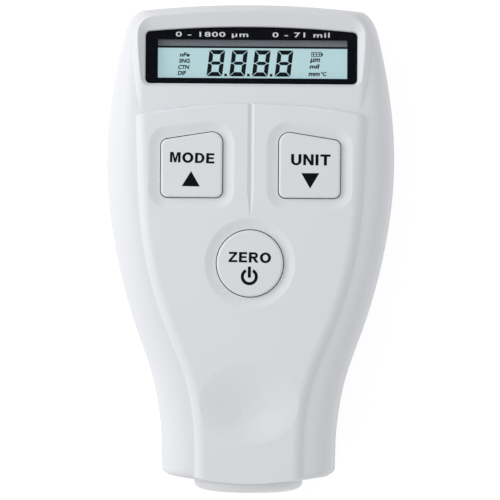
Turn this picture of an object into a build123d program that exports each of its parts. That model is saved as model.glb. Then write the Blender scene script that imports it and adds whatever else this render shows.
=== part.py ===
from build123d import *
import os
from math import cos, radians, sin, tan

# Digital coating thickness gauge, lying on its back. Millimetres.
# X runs across, Y towards the display end, Z out of the key face; the back is at Z = 0.

# Casing
length = 102.4              # casing, end to end
width = 62.0                # casing, across its widest place
parting_z = 13.5            # height of the joint between the two housings
wall = 2.0                  # housing wall
probe_wall = 2.6            # wall of the narrow end, which holds the probe
tip_reach = 2.6             # the probe tip stands out this far past the casing
probe_draft = 0.3           # how much the ends lean in over the flank
display_draft = 1.1
key_panel_z = 27.0          # raised key panel
panel_rise = 1.1            # the key panel stands this far over the flanks
brow_rise = 1.22            # the brow's face would run up to this far over it, but for the rounded rim
brow_fall = 2.1             # the brow falls this much down to the key panel
back_draft = 1.6            # the back is smaller than the joint line by this much
back_round = 2.4            # round between the back and the sides
panel_round = 2.4           # rim of the key panel along its sides
panel_arc_round = 0.6       # and along its curved top edge
panel_overrun = 4.0         # the rolled sides are cut off square at the probe end
brow_round = 2.0
shoulder = 3.8              # corner at the display end
heel = 1.5                  # corner at the probe end
display_bow = 1.3           # how much the ends bulge
probe_bow = 1.5
lip_height = 1.2            # tongue of the front housing inside the rear one
lip_wall = 0.9
lip_gap = 0.1
ceiling_drop = 1.7          # the inside of the front lies this far under the shelf
boss_bite = 0.8             # bosses run this far into the wall that carries them
rib_thick = 1.4
corner_fullness = 0.6
heel_taper = 0.2
shoulder_lean = (0.25, -1.0)
heel_lean = (-0.02, -1.0)

# Plan of the casing at stations along its length: share of the length from the display end,
# share of half the width, and how far the flank runs in between the joint line and the panel
plan_stations = (
    (0.063, 0.884, 2.6),
    (0.160, 0.951, 4.4),
    (0.330, 1.000, 6.6),
    (0.513, 0.936, 6.2),
    (0.680, 0.787, 6.5),
    (0.797, 0.658, 7.0),
    (0.900, 0.608, 7.0),
)
# Convex flank: height as a share of the flank's height, share of the run used up there
flank_levels = ((0.0, 0.0), (0.45, 0.10), (0.78, 0.32), (0.92, 0.62), (0.975, 0.92), (1.0, 1.25))

# Key panel
arc_drop = 21.4             # from the display end to the middle of the panel's curved top edge
arc_fall = 2.2              # the edge falls this much at the ends of the arc
arc_half = 23.0
groove_length = 24.5
groove_width = 1.4
groove_depth = 0.55
dimple_rise = 17.4          # from the probe end to the middle of the dimple
dimple_half_x = 11.0
dimple_half_y = 9.0
dimple_depth = 1.5
dimple_lean = 2.6           # its deepest point lies this much nearer to the probe
soft_break = 0.03           # soft rims of dimple and dishes break through the panel by this much

# Keys
key_inner_x = 6.0
key_outer_x = 19.0
key_drop = 5.8              # from the panel's top edge to the keys
key_height = 14.2
key_slant = 2.1             # the outer top corner is lower by this much
key_corner = 1.4
key_inner_corner = 2.2
zero_drop = 13.95           # from the other keys' lower edges to the middle of the ZERO key
zero_radius = 7.05
key_gap = 0.2
key_rise = 0.25             # the caps stand above the panel by this much
key_edge = 0.5
dish_run = 2.5              # the dish reaches this far outside the key's hole
dish_depth = 0.8
flange_reach = 0.9
flange_thick = 1.0
stem_radius = 2.2
key_wall = 1.2
key_travel = 0.4

# Display window
lens_half = 22.5
lens_drop = 5.1             # from the display end to the window
lens_height = 12.1
lens_arc_fall = 1.1
lens_corner = 1.1
lens_thick = 1.2
lens_sink = 1.2             # the window lies this far under the key panel's level
lens_gap = 0.1
recess_side_run = 1.1       # slope of the recess walls, sideways for each millimetre up
recess_top_run = 1.6
recess_low_run = 0.9
ledge_side = 1.9            # ledge that the window rests on: at the sides, below and above
ledge_low = 0.5
ledge_high = 2.5
ledge_thick = 1.4

# Battery bay, for four AAA cells side by side
cell_radius = 5.25
cell_length = 44.5
nub_radius = 1.9
nub_height = 0.8
cell_side_gap = 0.1
bay_low_y = -12.0
contact_room = 1.9          # room at each end of a cell for its contact
bay_side_gap = 0.15
cell_gap = 0.15             # above and below the cells
bay_wall = 1.2
bay_rib = 1.2
bay_rib_height = 2.0
contact_thick = 0.3
contact_width = 7.0
contact_height = 5.6
lug_width = 2.4
lug_reach = 1.5
lug_z = 8.6
cell_edge = 0.4

# Battery cover
cover_thick = 1.6
cover_gap = 0.15
cover_ledge = 0.6
hook_x = 10.6
hook_width = 4.0
hook_neck = 0.9
hook_reach = 2.2
hook_thick = 1.1
hook_gap = 0.25
hook_swing = 0.9            # free height over the hooks, for the cover to tip
tongue_width = 9.0
tongue_thick = 1.0
tongue_height = 5.5
tongue_gap = 0.3
tongue_reach = 4.2
tongue_inset = 0.9          # the tongue stands this far inside the tab's end
scoop_radius = 6.5
scoop_depth = 1.0
grip_count = 4
grip_pitch = 2.2
grip_length = 12.0
grip_depth = 0.35

# Housing screws
top_screw_x = 19.5
top_screw_drop = 4.85       # from the display end
low_screw_x = 16.0
low_screw_drop = 5.0        # below the board's lower edge
well_radius = 2.15
well_depth = 9.0
boss_radius = 3.1
front_boss_radius = 1.9
screw_head_radius = 2.0
screw_head_height = 1.4
screw_radius = 1.1
head_round = 0.4            # share of a screw head's height that is rounded
recess_long = 0.6           # cross recess, as shares of the head's radius
recess_wide = 0.12
screw_length = 10.0
screw_clearance = 0.15
pilot_gap = 0.05
pilot_end = 0.6             # pilot holes run this far past the screw's end

# Main board
board_top_z = 17.4
board_thick = 1.6
board_half = 24.0
board_margin = 0.5          # the board reaches this far past the display's glass
board_low_y = -19.5
board_low_half = 18.9
board_shoulder_drop = 5.1   # below the keys
board_screw_x = 21.8
board_screw_drop = 0.7      # below the panel's top edge
board_low_screw_x = 17.2
board_low_screw_rise = 8.3  # from the board's lower edge
board_boss_radius = 1.9
board_screw_radius = 0.9
board_screw_head = 1.7
board_screw_head_height = 1.1
board_screw_length = 5.0

# Parts on the board
switch_size = 6.0
switch_height = 3.5
switch_button_radius = 1.75
switch_button_proud = 0.8
switch_button_gap = 0.08
switch_seat = 0.8          # the button starts this deep in its body
switch_corner = 0.4
pin_width = 0.4
pin_reach = 0.9
pin_lift = 0.15
pin_thick = 0.35
board_corner = 1.5
chip_size = 10.0
chip_height = 1.4
chip_rise = 7.5            # from the keys' lower edges
chip_pins = 8
chip_pitch = 1.1
crystal_length = 10.4
crystal_width = 3.8
crystal_height = 3.4
crystal_drop = 3.5
capacitor_radius = 2.5
capacitor_height = 5.2
capacitor_round = 0.4
capacitor_x = 13.6
capacitor_drop = 5.9
amplifier_size = (5.0, 4.0, 1.5)
amplifier_place = (9.6, -10.0)
amplifier_pins = 4
amplifier_pitch = 1.27
regulator_size = (4.5, 2.6, 1.5)
regulator_place = (-12.4, -5.2)
regulator_pins = 3
regulator_pitch = 1.5
plug_size = (6.0, 5.0, 3.0)
plug_bite = 1.5
lead_end_z = 18.9
run_share = 0.45
# The probe's lead: sideways place, share of the way along and share of the climb
probe_lead_route = (
    (0.0, 0.0, 0.0), (0.0, 0.25, 0.0), (0.9, 0.45, 0.33),
    (0.7, 0.63, 0.78), (0.0, 0.74, 1.0), (0.0, 1.0, 1.0),
)
battery_lead_drop = 2.9     # the battery leads turn up this far past their lugs
battery_lead_lean = 0.6
battery_lead_rise = (0.4, 3.4)

# Display
glass_side = 0.7            # the glass laps the window's opening: at the sides, above and below
glass_lap = 0.7
glass_lap_high = 0.2
glass_ledge = 1.9           # the front plate runs on past the rear one
glass_thick = 1.1
film_thick = 0.2
film_side_inset = 0.6
film_low_inset = 0.3
film_high_inset = 0.25
gasket_thick = 0.4
gasket_gap = 0.05
holder_wall = 0.5
holder_gap = 0.05
holder_floor = 0.9
strip_end_inset = 1.8
strip_depth = 1.2
peg_radius = 0.5

# Probe
collar_radius = 11.7
collar_proud = 2.0
collar_nose_radius = 6.9    # the domed head ends in a rim of this size
collar_sink = 1.1           # the head sits this deep in the end of the casing
collar_gap = 0.1
collar_neck_radius = 9.8
collar_flange_radius = 10.5
collar_flange_thick = 1.2
collar_body_radius = 9.4
collar_dome = 3.4           # pull of the head's curve at its rim and at its side
collar_dome_side = 1.2
collar_rib_back = 1.0       # the rib stands this far from the collar's inner end
groove_v_depth = 1.3
barrel_radius = 6.2
barrel_running_gap = 0.05
barrel_set_back = 0.2       # the barrel's face lies this far behind the collar's rim
barrel_wall = 1.0
barrel_length = 10.6
barrel_flange_radius = 8.0
barrel_flange_thick = 1.2
stop_gap = 0.05
spring_bore_radius = 8.3
core_radius = 1.6
core_hole_gap = 0.05
bobbin_length = 6.4
bobbin_flange = 0.8
winding_radius = 4.2
end_plate_thick = 1.2
spring_wire = 0.35
spring_turns = 3.5
spring_room = 7.0           # between the barrel and the retaining plug, with the tip out
retainer_thick = 1.8
lead_radius = 0.8
battery_lead_radius = 0.6

casing_top = (length + tip_reach) / 2
casing_end = casing_top - length
probe_z = parting_z
shelf_z = key_panel_z - panel_rise
brow_z = key_panel_z + brow_rise
ceiling_z = shelf_z - ceiling_drop
arc_y = casing_top - arc_drop
groove_end_y = arc_y - groove_length
dimple_y = casing_end + dimple_rise

cell_pitch = 2 * cell_radius + cell_side_gap
cell_z = cover_thick + cell_gap + cell_radius
bay_ceiling_z = cell_z + cell_radius + cell_gap
bay_high_y = bay_low_y + cell_length + 2 * contact_room
bay_half = 1.5 * cell_pitch + cell_radius + bay_side_gap
opening_low = bay_low_y - cover_ledge
cover_hinge_y = bay_high_y + cover_ledge
tongue_y = opening_low - tongue_reach
cell_xs = [cell_pitch * (i - 1.5) for i in range(4)]

board_low_z = board_top_z - board_thick
switch_top_z = board_top_z + switch_height
key_low_z = switch_top_z + switch_button_proud
key_top_z = key_panel_z + key_rise
key_high_y = arc_y - key_drop
key_low_y = key_high_y - key_height
key_x = (key_inner_x + key_outer_x) / 2
key_y = (key_low_y + key_high_y) / 2
zero_y = key_low_y - zero_drop

lens_front_z = key_panel_z - lens_sink
lens_high_y = casing_top - lens_drop
lens_low_y = lens_high_y - lens_height
opening_half = lens_half - ledge_side
opening_low_y = lens_low_y + ledge_low
opening_high_y = lens_high_y - ledge_high
ledge_low_z = lens_front_z - lens_thick - ledge_thick

glass_top_z = ledge_low_z - gasket_thick
glass_half = opening_half + glass_side
glass_low_y = opening_low_y - glass_lap
glass_high_y = opening_high_y + glass_lap_high
rear_glass_high_y = glass_high_y - glass_ledge
film_half = glass_half - film_side_inset
film_low_y = glass_low_y + film_low_inset
film_high_y = rear_glass_high_y - film_high_inset
strip_half = glass_half - strip_end_inset
strip_y = (rear_glass_high_y + glass_high_y) / 2
holder_peg_y = (glass_low_y + glass_high_y) / 2

board_top_y = glass_high_y + board_margin
board_shoulder_y = key_low_y - board_shoulder_drop
board_screw_y = arc_y - board_screw_drop
board_low_screw_y = board_low_y + board_low_screw_rise
top_screw_y = casing_top - top_screw_drop
low_screw_y = board_low_y - low_screw_drop

collar_rim_y = casing_end - collar_proud
barrel_front_y = collar_rim_y + barrel_set_back
barrel_rear_y = barrel_front_y + barrel_length
collar_shoulder_y = barrel_rear_y - barrel_flange_thick - stop_gap
retainer_front_y = barrel_rear_y + spring_room
collar_rear_y = retainer_front_y + retainer_thick
bobbin_front_y = barrel_front_y + barrel_wall
bobbin_rear_y = bobbin_front_y + bobbin_length


def block(x, y, z):
    """Box from its (low, high) pair along each axis."""
    corner = (x[0], y[0], z[0])
    return Pos(*corner) * Box(x[1] - x[0], y[1] - y[0], z[1] - z[0], align=(Align.MIN,) * 3)


def post(x, y, z, radius):
    """Upright cylinder over the (low, high) pair z."""
    return Pos(x, y, z[0]) * Cylinder(radius, z[1] - z[0], align=(Align.CENTER, Align.CENTER, Align.MIN))


def prism(face, z):
    """The face drawn at Z = 0, extruded over the (low, high) pair z."""
    return Pos(0, 0, z[0]) * extrude(face, z[1] - z[0])


def turned(*points):
    """Solid turned about the probe's axis, from (radius, y) points."""
    return Pos(0, 0, probe_z) * revolve(make_face(Polyline(*points, close=True)), Axis.Y)


def both_sides(solid):
    return solid + mirror(solid, about=Plane.YZ)


def meet(p, d, q, e):
    """Where the line through p along d crosses the line through q along e."""
    t = ((q[0] - p[0]) * e[1] - (q[1] - p[1]) * e[0]) / (d[0] * e[1] - d[1] * e[0])
    return (p[0] + d[0] * t, p[1] + d[1] * t)


def rounded_corner(p, corner, q):
    """Smooth curve from p to q, tangent to the sides that meet at the corner."""
    near_p = tuple(a + (b - a) * corner_fullness for a, b in zip(p, corner))
    near_q = tuple(a + (b - a) * corner_fullness for a, b in zip(q, corner))
    return Bezier(p, near_p, near_q, q)


def plan(z, flank=0.0, inset=0.0, end_inset=None):
    """Outline of the casing at height z: part of the flank's run taken off, then an inset.

    A negative end_inset makes it run on past the probe end.
    """
    end_inset = inset if end_inset is None else end_inset
    top = casing_top - inset - display_draft * flank
    end = casing_end + end_inset + probe_draft * flank
    side = [
        (share * width / 2 - run * flank - inset, casing_top - length * station)
        for station, share, run in plan_stations
    ]
    heel_top = (side[-1][0] - heel_taper, end + probe_bow + heel)
    top_end = (side[0][0] - shoulder, top - display_bow)
    end_end = (heel_top[0] - heel, end + probe_bow)
    top_slope = (1.0, -2 * display_bow / top_end[0])
    end_slope = (1.0, 2 * probe_bow / end_end[0])
    right = [
        rounded_corner(top_end, meet(top_end, top_slope, side[0], shoulder_lean), side[0]),
        Spline(*side, heel_top, tangents=[shoulder_lean, heel_lean]),
        rounded_corner(heel_top, meet(heel_top, heel_lean, end_end, end_slope), end_end),
    ]
    left = [mirror(edge, about=Plane.YZ) for edge in right]
    crown = ThreePointArc((-top_end[0], top_end[1]), (0, top), top_end)
    foot = ThreePointArc((-end_end[0], end_end[1]), (0, end), end_end)
    return Pos(0, 0, z) * make_face([crown, foot, *right, *left])


def flank_solid(high_z, inset=0.0, end_inset=0.0, most=2.0):
    """Solid under the convex flanks, from the joint line up to high_z."""
    rise = high_z - parting_z
    sections = [(parting_z + rise * up, min(share, most)) for up, share in flank_levels]
    return loft([plan(z, share, inset, end_inset) for z, share in sections])


def key_outline(side, grow=0.0):
    """Rounded outline of the MODE key (side -1) or the UNIT key (side 1)."""
    low, high = key_low_y - grow, key_high_y + grow
    inner, outer = key_inner_x - grow, key_outer_x + grow
    corners = [(inner, low), (outer, low), (outer, high - key_slant), (inner, high)]
    face = make_face(Polyline(*corners, close=True))
    inner_top = face.vertices().sort_by(Axis.Y)[-1]
    face = fillet(inner_top, key_inner_corner + grow)
    sharp = [v for v in face.vertices() if (round(v.X, 3), round(v.Y, 3)) in rounded(corners[:3])]
    face = fillet(sharp, key_corner + grow)
    return face if side > 0 else mirror(face, about=Plane.YZ)


def rounded(points):
    return [(round(x, 3), round(y, 3)) for x, y in points]


def zero_outline(grow=0.0):
    return Pos(0, zero_y) * Circle(zero_radius + grow)


def key_outlines(grow=0.0):
    return [key_outline(-1, grow), key_outline(1, grow), zero_outline(grow)]


def lens_outline(side=0.0, top=0.0, low=0.0):
    """Outline of the display window, let out by the given amounts."""
    half = lens_half + side
    low_y = lens_low_y - low
    high_y = lens_high_y + top
    ends_y = high_y - lens_arc_fall
    edge = Polyline((-half, ends_y), (-half, low_y), (half, low_y), (half, ends_y))
    crown = ThreePointArc((half, ends_y), (0, high_y), (-half, ends_y))
    face = make_face([*edge.edges(), crown])
    return fillet(face.vertices(), lens_corner + side)


def below_arc():
    """Everything on the probe's side of the key panel's curved top edge."""
    arc_radius = (arc_half**2 + arc_fall**2) / (2 * arc_fall)
    half = width / 2
    ends_y = arc_y - arc_radius + (arc_radius**2 - half**2) ** 0.5
    crown = ThreePointArc((-half, ends_y), (0, arc_y), (half, ends_y))
    skirt = Polyline((half, ends_y), (half, -length), (-half, -length), (-half, ends_y))
    return prism(make_face([crown, *skirt.edges()]), (0, brow_z))


def key_panel():
    """Raised panel that carries the keys: its sides roll off, and its curved top edge is crisp."""
    panel = prism(plan(0, 1.0, end_inset=-panel_overrun), (ceiling_z, key_panel_z))
    panel = fillet(panel.faces().sort_by(Axis.Z)[-1].edges(), panel_round)
    panel &= prism(plan(0, 1.0, inset=-wall, end_inset=0.0), (0, brow_z))
    panel &= below_arc()
    top = panel.faces().sort_by(Axis.Z)[-1]
    arc = top.edges().sort_by(Axis.Y)[-1]
    return fillet(arc, panel_arc_round)


def display_brow():
    """Raised block round the display, whose face falls towards the keys."""
    low_y = arc_y - 2 * arc_fall
    slab = prism(plan(0, 1.0), (ceiling_z, brow_z + 1))
    slab &= block((-width, width), (low_y, length), (0, brow_z + 1))
    back_y = casing_top - display_draft
    face_plane = Plane(
        origin=(0, back_y, brow_z), x_dir=(1, 0, 0), z_dir=(0, -brow_fall, back_y - arc_y)
    )
    brow = split(slab, face_plane, keep=Keep.BOTTOM)
    top = brow.faces().filter_by(lambda f: f.normal_at().Z > 0.5).sort_by(Axis.Z)[-1]
    rim = [e for e in top.edges() if e.center().Y > low_y + 0.1]
    return fillet(rim, brow_round)


def panel_groove():
    """Cutter for the V groove down the middle of the panel, fading out at its lower end."""
    def vee(y, depth):
        half = groove_width / 2 * depth / groove_depth
        over = 0.2
        points = [(0, key_panel_z - depth), (half * (1 + over), key_panel_z + depth * over),
                  (-half * (1 + over), key_panel_z + depth * over)]
        return make_face(Polyline(*[(x, y, z) for x, z in points], close=True))
    fade_y = groove_end_y + 4 * groove_width
    return loft([vee(arc_y + 1, groove_depth), vee(fade_y, groove_depth)], ruled=True) + loft(
        [vee(fade_y, groove_depth), vee(groove_end_y, groove_depth / 8)], ruled=True
    )


def soft_height(out, depth):
    """Height of a soft-rimmed hollow in the panel at the share out of the way to its rim."""
    return key_panel_z + soft_break - depth * (1 - 2.4 * out**2 + 1.4 * out**3)


def thumb_dimple():
    """Cutter for the thumb dimple: ovals that widen upwards, the deepest nearest to the probe."""
    rows = 7
    sections = []
    for i in range(1, rows + 1):
        out = i / rows
        oval = Ellipse(dimple_half_x * out, dimple_half_y * out)
        y = dimple_y - dimple_lean * (1 - out)
        sections.append(Pos(0, y, soft_height(out, dimple_depth)) * oval)
    return loft(sections)


def key_dish(outline, grown):
    """Cutter for the shallow dish round a key, and the hole that its cap moves in."""
    rows = 4
    sections = []
    for i in range(rows + 1):
        out = i / rows
        sections.append(Pos(0, 0, soft_height(out, dish_depth)) * outline(grown + dish_run * out))
    return loft(sections) + prism(outline(grown), (0, key_panel_z))


def lens_seat():
    """Cutter for the display recess: sloped walls, the window's pocket and the opening behind it."""
    top = brow_z + 1
    rise = top - lens_front_z
    mouth = lens_outline(recess_side_run * rise, recess_top_run * rise, recess_low_run * rise)
    foot = lens_outline(lens_gap, lens_gap, lens_gap)
    slope = loft([Pos(0, 0, lens_front_z) * foot, Pos(0, 0, top) * mouth], ruled=True)
    pocket = prism(foot, (lens_front_z - lens_thick, lens_front_z))
    opening = block(
        (-opening_half, opening_half), (opening_low_y, opening_high_y), (ledge_low_z - 1, lens_front_z)
    )
    return slope + pocket + opening


def collar_solid(gap=0.0):
    """The probe collar's outside, let out by a gap to cut its seat."""
    neck_y = casing_end + collar_sink + gap
    rim_y = casing_end + probe_wall - gap
    flange_y = rim_y + collar_flange_thick + 2 * gap
    neck, flange = collar_neck_radius + gap, collar_flange_radius + gap
    head, body = collar_radius + gap, collar_body_radius + gap
    dome = Bezier(
        (collar_nose_radius, collar_rim_y),
        (collar_nose_radius + collar_dome, collar_rim_y),
        (head, casing_end - collar_dome_side),
        (head, casing_end),
    )
    rest = Polyline(
        (head, casing_end), (head, neck_y), (neck, neck_y), (neck, rim_y), (flange, rim_y),
        (flange, flange_y), (body, flange_y), (body, collar_rear_y), (0, collar_rear_y),
        (0, collar_rim_y), (collar_nose_radius, collar_rim_y),
    )
    return Pos(0, 0, probe_z) * revolve(make_face([dome, *rest.edges()]), Axis.Y)


def collar_rib(low_z, high_z):
    """Cross rib that holds the collar's body near its inner end."""
    y = collar_rear_y - collar_rib_back
    half = collar_body_radius + wall
    return block((-half, half), (y - rib_thick, y), (low_z, high_z))


def screw_places(top, low):
    return [(x * side, y) for x, y in (top, low) for side in (-1, 1)]


def front_housing():
    """Front moulding: flanks, key panel, display brow, bosses and the tongue round its edge."""
    outside = flank_solid(shelf_z) + display_brow() + key_panel()
    inside = flank_solid(ceiling_z, wall, probe_wall, 1.0)
    shell = outside - inside
    shell += block(
        (-lens_half, lens_half), (lens_low_y - wall, lens_high_y), (ledge_low_z, ceiling_z)
    )
    shell -= lens_seat()
    for i in range(3):
        shell -= key_dish(lambda grow, i=i: key_outlines(grow)[i], key_gap)
    shell -= panel_groove()
    shell -= thumb_dimple()
    inner = flank_solid(ceiling_z, wall - boss_bite, probe_wall, 1.0)
    for x, y in screw_places((top_screw_x, top_screw_y), (low_screw_x, low_screw_y)):
        boss = post(x, y, (parting_z, ceiling_z + boss_bite), front_boss_radius) & inner
        hole = post(x, y, (parting_z, well_depth + screw_length + pilot_end), screw_radius + pilot_gap)
        shell = shell + boss - hole
    for x, y in screw_places((board_screw_x, board_screw_y), (board_low_screw_x, board_low_screw_y)):
        boss = post(x, y, (board_top_z, ceiling_z + boss_bite), board_boss_radius) & inner
        depth = board_low_z + board_screw_length + pilot_end
        shell = shell + boss - post(x, y, (board_top_z, depth), board_screw_radius + pilot_gap)
    tongue = plan(0, inset=wall - lip_wall) - plan(0, inset=wall, end_inset=probe_wall)
    shell += prism(tongue, (parting_z - lip_height, parting_z))
    shell += collar_rib(parting_z, ceiling_z + boss_bite) & inner
    return shell - collar_solid(collar_gap)


def back_form():
    """Solid of the rear housing's outside, from the flat back up to the joint line."""
    mid = parting_z / 2
    form = loft([plan(parting_z), plan(mid, inset=back_draft / 4), plan(0, inset=back_draft)])
    rim = form.faces().sort_by(Axis.Z)[0].edges()
    return fillet(rim, back_round)


def cover_outline(gap=0.0):
    """Plan of the battery cover: a rectangle with the snap tongue's tab at its lower end."""
    half = bay_half + cover_ledge - gap
    tab = tongue_width / 2 + tongue_gap - gap
    middle = Pos(0, (opening_low + cover_hinge_y) / 2)
    body = middle * Rectangle(2 * half, cover_hinge_y - opening_low - 2 * gap)
    end = Pos(0, (tongue_y + opening_low) / 2 + gap) * Rectangle(2 * tab, opening_low - tongue_y)
    return body + end


def hooks():
    """The two hook tabs of the cover: each stands up from its edge and reaches in over the back wall."""
    high = wall + hook_gap + hook_thick
    root = cover_hinge_y - cover_gap
    span = (hook_x - hook_width / 2, hook_x + hook_width / 2)
    neck = block(span, (root - hook_neck, root), (cover_thick, high))
    reach = block(span, (root - hook_neck, root + hook_reach), (wall + hook_gap, high))
    return both_sides(neck + reach)


def hook_room(high):
    """Cutter for the two slots in the bay's end wall that the hooks swing in."""
    span = (hook_x - hook_width / 2 - tongue_gap, hook_x + hook_width / 2 + tongue_gap)
    neck = block(span, (cover_hinge_y - hook_neck, cover_hinge_y), (cover_thick, high))
    reach = block(span, (bay_high_y, cover_hinge_y + hook_reach + tongue_gap), (wall, high))
    return both_sides(neck + reach)


def rear_housing():
    """Rear moulding: flat back, battery bay, screw wells and the collar's lower seat."""
    outside = back_form()
    inside = loft([
        plan(parting_z, inset=wall, end_inset=probe_wall),
        plan(parting_z / 2, inset=wall + back_draft / 4, end_inset=probe_wall),
        plan(wall, inset=wall + back_draft, end_inset=probe_wall + back_draft),
    ])
    shell = outside - inside
    bay = block(
        (-bay_half - bay_wall, bay_half + bay_wall),
        (bay_low_y - bay_wall, bay_high_y + bay_wall),
        (0, parting_z),
    )
    shell += bay & outside
    for x, y in screw_places((top_screw_x, top_screw_y), (low_screw_x, low_screw_y)):
        shell += post(x, y, (0, parting_z), boss_radius) & outside
        shell -= post(x, y, (0, well_depth), well_radius)
        shell -= post(x, y, (well_depth, parting_z), screw_radius + screw_clearance)
    shell += collar_rib(0, parting_z) & outside
    rebate = plan(0, inset=wall - lip_wall - lip_gap)
    rebate -= plan(0, inset=wall + lip_gap, end_inset=probe_wall + lip_gap)
    shell -= prism(rebate, (parting_z - lip_height - lip_gap, parting_z))
    shell -= block((-bay_half, bay_half), (bay_low_y, bay_high_y), (0, bay_ceiling_z))
    for x in (-cell_pitch, 0, cell_pitch):
        rib = (x - bay_rib / 2, x + bay_rib / 2)
        shell += block(rib, (bay_low_y + contact_room, bay_high_y - contact_room),
                       (bay_ceiling_z - bay_rib_height, bay_ceiling_z))
    shell -= prism(cover_outline(), (0, cover_thick))
    shell -= block(
        (-tongue_width / 2 - tongue_gap, tongue_width / 2 + tongue_gap),
        (tongue_y, bay_low_y - bay_wall),
        (0, wall),
    )
    ball = (scoop_radius**2 + scoop_depth**2) / (2 * scoop_depth)
    shell -= Pos(0, tongue_y - scoop_radius * 0.5, scoop_depth - ball) * Sphere(ball)
    room = wall + hook_gap + hook_thick + hook_swing
    shell -= hook_room(room)
    for x in (cell_xs[0], cell_xs[3]):
        hole_z = (lug_z - lug_width, lug_z + lug_width)
        shell -= block((x - lug_width, x + lug_width), (bay_low_y - bay_wall, bay_low_y), hole_z)
    return shell - collar_solid(collar_gap)


def battery_cover():
    """Cover of the bay: flat plate with grip grooves, two hook tabs and a snap tongue."""
    cover = prism(cover_outline(cover_gap), (0, cover_thick)) & back_form()
    cover += hooks()
    y = tongue_y + cover_gap + tongue_inset
    half = tongue_width / 2
    cover += block((-half, half), (y, y + tongue_thick), (cover_thick, cover_thick + tongue_height))
    grip_y = opening_low + 2 * grip_pitch
    for i in range(grip_count):
        groove = Rot(0, 90, 0) * Cylinder(grip_depth, grip_length)
        cover -= Pos(0, grip_y + i * grip_pitch, 0) * groove
    return cover


def display_window():
    """Clear window in the recess; its border is printed black on the back."""
    return prism(lens_outline(), (lens_front_z - lens_thick, lens_front_z))


def lcd_glass():
    """Two plates of glass; the front one runs on past the rear one as the contact ledge."""
    front = block(
        (-glass_half, glass_half), (glass_low_y, glass_high_y), (glass_top_z - glass_thick, glass_top_z)
    )
    rear = block(
        (-glass_half, glass_half),
        (glass_low_y, rear_glass_high_y),
        (glass_top_z - 2 * glass_thick, glass_top_z - glass_thick),
    )
    return front + rear


def lcd_film(low_z):
    return block((-film_half, film_half), (film_low_y, film_high_y), (low_z, low_z + film_thick))


def lcd_polariser():
    return lcd_film(glass_top_z)


def lcd_reflector():
    return lcd_film(glass_top_z - 2 * glass_thick - film_thick)


def display_gasket():
    """Foam frame pressed between the glass and the housing's ledge."""
    outer = block(
        (-glass_half, glass_half), (glass_low_y, glass_high_y), (glass_top_z, ledge_low_z)
    )
    inner = block(
        (-film_half - gasket_gap, film_half + gasket_gap),
        (film_low_y - gasket_gap, opening_high_y),
        (glass_top_z, ledge_low_z),
    )
    return outer - inner


def lcd_holder():
    """Moulded frame that stands on the board and carries the glass; two pegs pass the board."""
    half = glass_half + holder_gap + holder_wall
    span_y = (glass_low_y - holder_gap - holder_wall, glass_high_y + holder_gap + holder_wall)
    frame = block((-half, half), span_y, (board_top_z, glass_top_z - holder_gap))
    pocket_half = glass_half + holder_gap
    pocket_y = (glass_low_y - holder_gap, glass_high_y + holder_gap)
    floor_z = glass_top_z - 2 * glass_thick - film_thick
    frame -= block((-pocket_half, pocket_half), pocket_y, (floor_z, glass_top_z))
    frame -= block(
        (-pocket_half, pocket_half), pocket_y, (board_top_z, floor_z - holder_floor)
    )
    frame -= block(
        (-strip_half - holder_gap, strip_half + holder_gap),
        (strip_y - strip_depth / 2 - holder_gap, strip_y + strip_depth / 2 + holder_gap),
        (board_top_z, glass_top_z),
    )
    for x in (-half + peg_radius, half - peg_radius):
        frame += post(x, holder_peg_y, (board_low_z, board_top_z), peg_radius)
    return frame


def contact_strip():
    """Striped rubber strip between the board's pads and the glass ledge."""
    return block(
        (-strip_half, strip_half),
        (strip_y - strip_depth / 2, strip_y + strip_depth / 2),
        (board_top_z, glass_top_z - glass_thick),
    )


def key_cap(outline):
    """Moulded key: hollow cap, flange under the housing and a stem down to its switch."""
    cap = prism(outline(0), (ceiling_z - stop_gap - flange_thick, key_top_z))
    cap = fillet(cap.faces().sort_by(Axis.Z)[-1].edges(), key_edge)
    flange_top = ceiling_z - stop_gap
    cap += prism(outline(flange_reach), (flange_top - flange_thick, flange_top))
    cap -= prism(outline(-key_wall), (0, key_top_z - key_wall))
    return cap


def mode_key():
    return key_cap(lambda grow: key_outline(-1, grow)) + key_stem(-key_x, key_y)


def unit_key():
    return key_cap(lambda grow: key_outline(1, grow)) + key_stem(key_x, key_y)


def zero_key():
    return key_cap(zero_outline) + key_stem(0, zero_y)


def key_stem(x, y):
    return post(x, y, (key_low_z, key_top_z - key_wall), stem_radius)


def switch_body(x, y):
    """Tact switch without its button: square body with a bore and four legs."""
    body = Pos(x, y, board_top_z + switch_height / 2) * Box(switch_size, switch_size, switch_height)
    body = fillet(body.edges().filter_by(Axis.Z), switch_corner)
    bore = (switch_top_z - switch_seat - key_travel, switch_top_z)
    return body - post(x, y, bore, switch_button_radius + switch_button_gap)


def switch_button(x, y):
    return post(x, y, (switch_top_z - switch_seat + stop_gap, key_low_z), switch_button_radius)


def main_board():
    """Board that fills the front housing, with holes for the holder's pegs and its four screws."""
    corners = [
        (board_half, board_top_y), (board_half, board_shoulder_y), (board_low_half, board_low_y),
    ]
    outline = make_face(Polyline(*corners, *[(-x, y) for x, y in reversed(corners)], close=True))
    outline = fillet(outline.vertices(), board_corner)
    board = prism(outline, (board_low_z, board_top_z))
    for x, y in screw_places((board_screw_x, board_screw_y), (board_low_screw_x, board_low_screw_y)):
        board -= post(x, y, (board_low_z, board_top_z), board_screw_radius + screw_clearance)
    peg_x = glass_half + holder_gap + holder_wall - peg_radius
    for x in (-peg_x, peg_x):
        board -= post(x, holder_peg_y, (board_low_z, board_top_z), peg_radius)
    return board


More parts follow.
